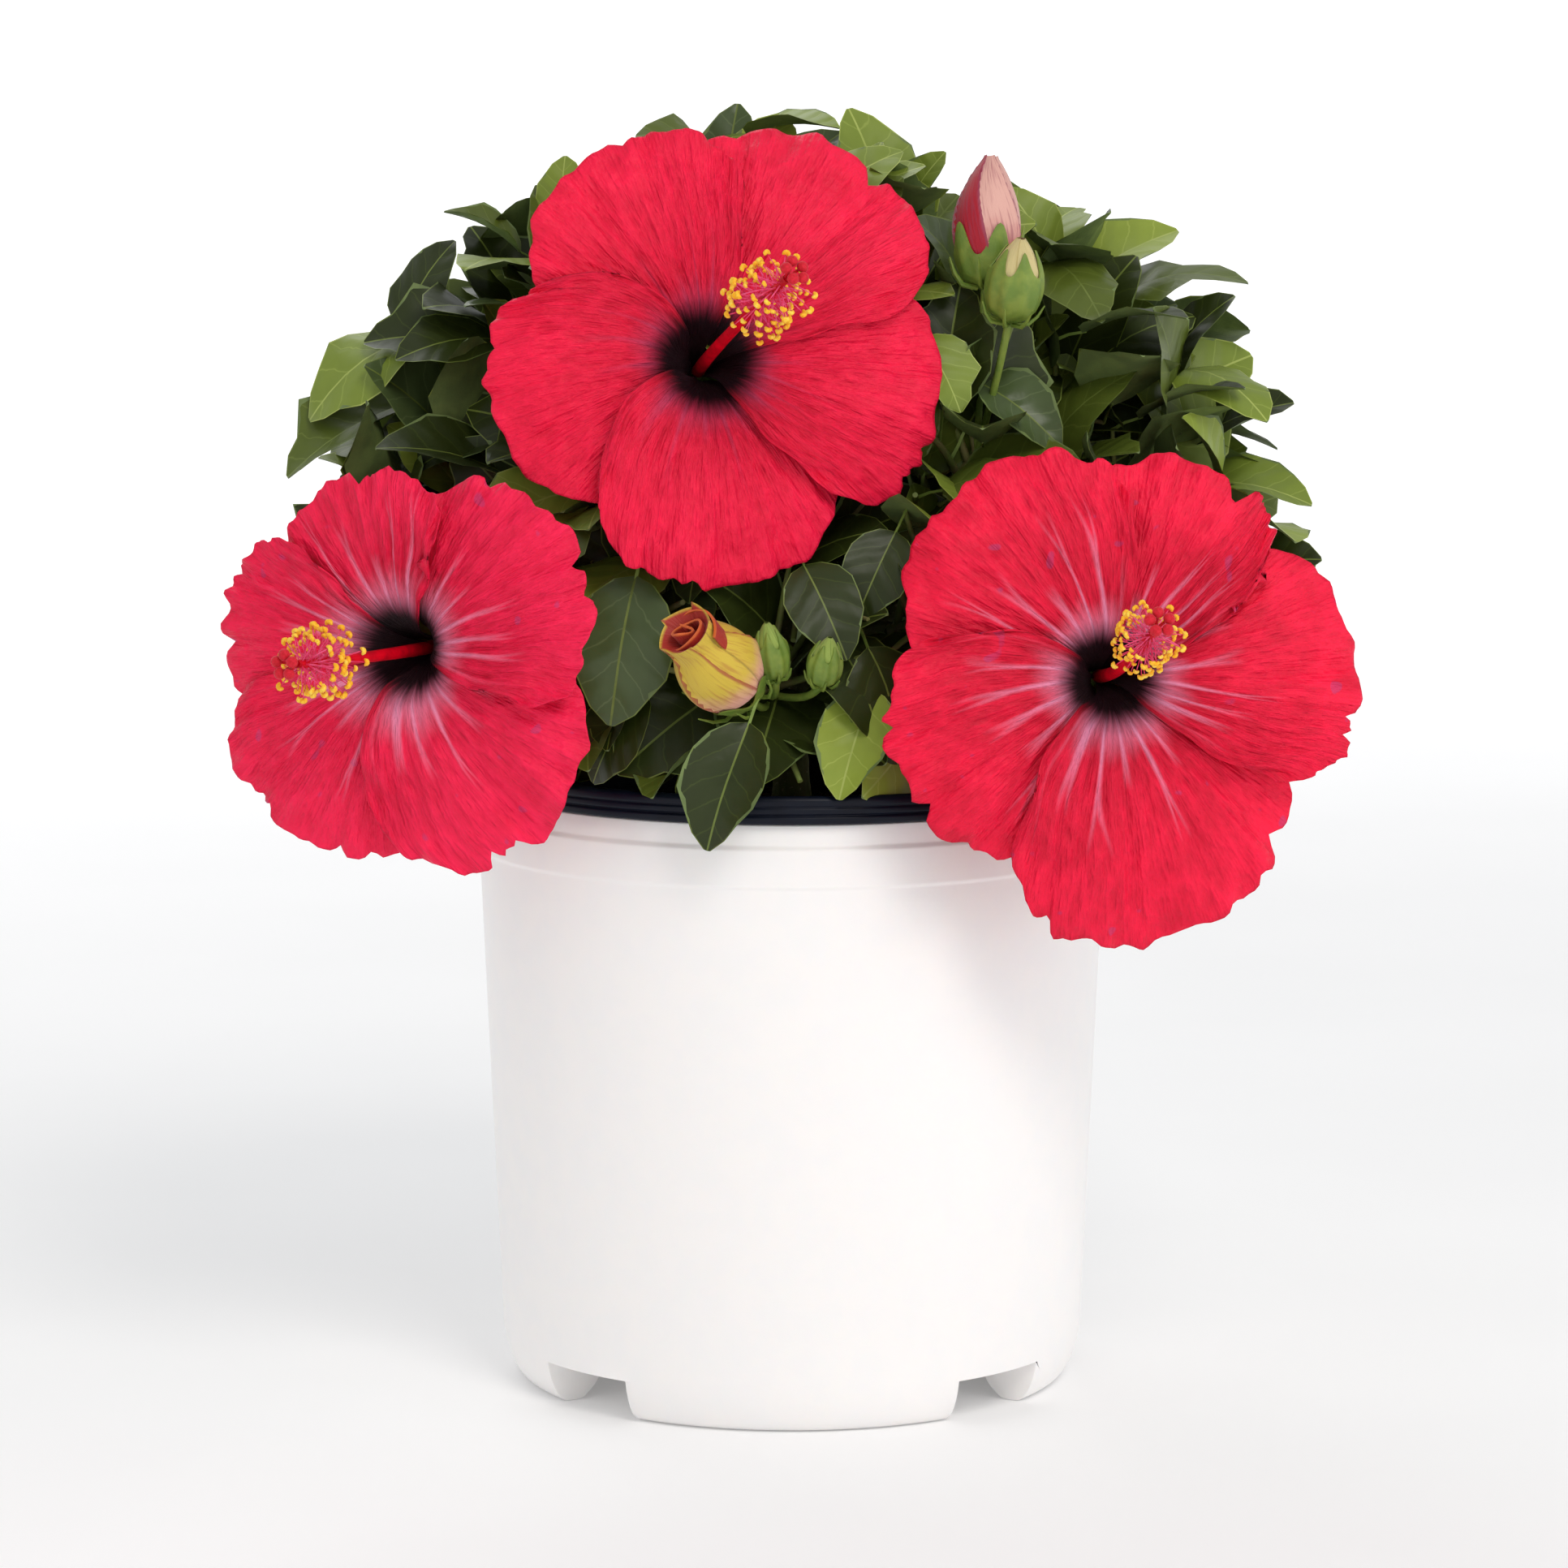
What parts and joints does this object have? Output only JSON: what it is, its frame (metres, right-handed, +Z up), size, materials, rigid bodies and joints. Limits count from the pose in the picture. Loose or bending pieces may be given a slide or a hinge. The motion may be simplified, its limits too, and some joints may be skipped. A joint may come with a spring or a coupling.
{
  "type": "flowering shrub in a nursery pot",
  "caption": "Leafy hibiscus shrub with large open red blooms and buds, in a tapered white nursery pot with a dark rolled rim and a footed base.",
  "frame": {"origin": "centre of the flat pad under the pot, on the surface that the pot stands on", "axes": "+Z up along the pot's axis, -Y towards the viewer of the picture, +X to the viewer's right"},
  "size_m": [0.3986, 0.3589, 0.4688],
  "materials": {
    "white_plastic": "satin white moulded plastic",
    "navy_plastic": "smooth navy-black plastic with a soft sheen",
    "potting_mix": "moist dark bark and peat",
    "green_bark": "young grey-green bark",
    "foliage": "glossy dark green leaves with paler edges and veins",
    "petals": "silky crimson petals with pale streaks and a dark throat",
    "stamens": "red column with golden anthers",
    "calyx": "matt pale green sepals"
  },
  "bodies": {
    "root": {"pot_shell": "white_plastic", "pot_liner": "navy_plastic", "potting_mix": "potting_mix", "trunk": "green_bark", "bough_top": "green_bark", "bough_left_low": "green_bark", "bough_right_low": "green_bark", "bough_front_low": "green_bark", "bough_back_left": "green_bark", "bough_back_right": "green_bark", "bough_left_high": "green_bark", "bough_right_high": "green_bark", "bough_front_left": "green_bark", "bough_front_right": "green_bark", "bough_front_mid": "green_bark", "bough_shoulder_left": "green_bark", "bough_shoulder_right": "green_bark", "bough_top_left": "green_bark", "bough_top_right": "green_bark", "bough_back_high_left": "green_bark", "bough_back_high_right": "green_bark", "bough_back_low": "green_bark", "bough_bloom_top": "green_bark", "bough_bloom_left": "green_bark", "bough_bloom_right": "green_bark", "bloom_top_petals": "petals", "bloom_top_column": "stamens", "bloom_top_calyx": "calyx", "bloom_left_petals": "petals", "bloom_left_column": "stamens", "bloom_left_calyx": "calyx", "bloom_right_petals": "petals", "bloom_right_column": "stamens", "bloom_right_calyx": "calyx", "foliage_top": "foliage", "foliage_left_low": "foliage", "foliage_right_low": "foliage", "foliage_front_low": "foliage", "foliage_back_left": "foliage", "foliage_back_right": "foliage", "foliage_left_high": "foliage", "foliage_right_high": "foliage", "foliage_front_left": "foliage", "foliage_front_right": "foliage", "foliage_front_mid": "foliage", "foliage_shoulder_left": "foliage", "foliage_shoulder_right": "foliage", "foliage_top_left": "foliage", "foliage_top_right": "foliage", "foliage_back_high_left": "foliage", "foliage_back_high_right": "foliage", "foliage_back_low": "foliage"}
  },
  "joints": []
}
